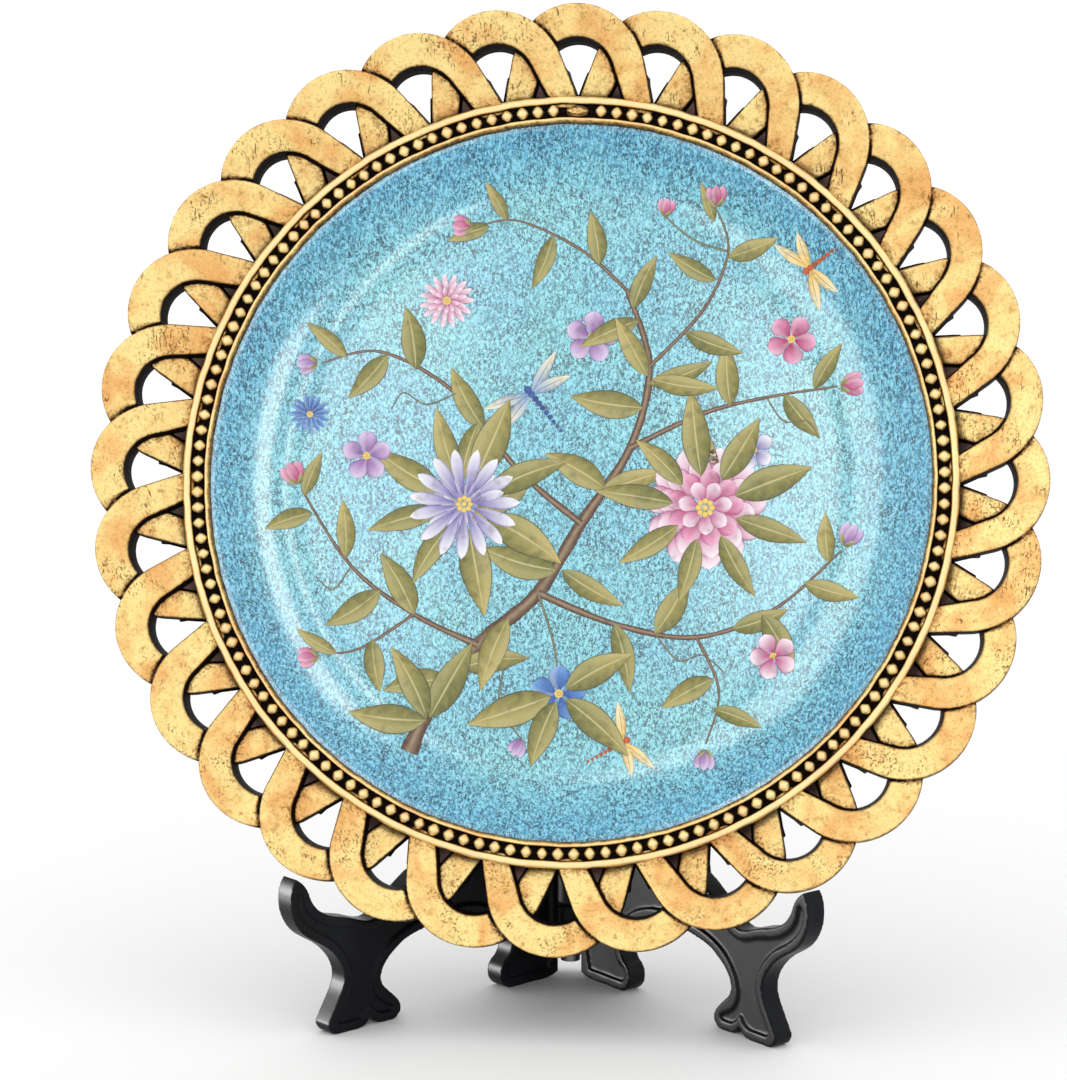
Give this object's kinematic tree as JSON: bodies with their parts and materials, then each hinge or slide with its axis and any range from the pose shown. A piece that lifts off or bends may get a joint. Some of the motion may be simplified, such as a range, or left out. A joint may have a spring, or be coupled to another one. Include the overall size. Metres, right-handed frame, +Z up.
{
  "type": "decorative plate on folding stand",
  "caption": "Round glazed display plate with a gilded openwork rim of interlaced loops and a beaded ring, standing on a folding two-leaf stand.",
  "frame": {"origin": "on the table, under the middle of the whole object's plan", "axes": "+Z up; the plate's face looks towards -Y and leans back; +X to the viewer's right"},
  "size_m": [0.321, 0.1226, 0.3352],
  "materials": {
    "glaze": "glossy crackle glaze over painted decoration",
    "adhesive": "cured glue",
    "collar_resin": "dark brown stained resin",
    "gilt_resin": "gold leaf with brown patina on cast resin",
    "stand_black": "satin black moulded plastic",
    "steel": "plain drawn wire"
  },
  "bodies": {
    "stand_left": {"left_leaf": "stand_black", "hinge_pin": "steel", "pin_cap": "steel"},
    "stand_right": {"right_leaf": "stand_black"},
    "plate": {"glazed_dish": "glaze", "dish_adhesive": "adhesive", "rim_collar": "collar_resin", "openwork_rim": "gilt_resin", "beaded_bezel": "gilt_resin", "bead_row": "gilt_resin", "top_medallion": "gilt_resin"}
  },
  "joints": [
    {"name": "plate_lift", "type": "slide", "parent": "stand_left", "child": "plate", "axis": [0, 0, 1], "range_m": [0, 0.25]},
    {"name": "stand_fold", "type": "hinge", "parent": "stand_left", "child": "stand_right", "pos_m": [0, 0.0282, 0], "axis": [0, 0, -1], "range_deg": [0, 85]}
  ],
  "couplings": [
    {"joint": "stand_fold", "follows": "plate_lift", "rad_per_m": 5.934}
  ]
}
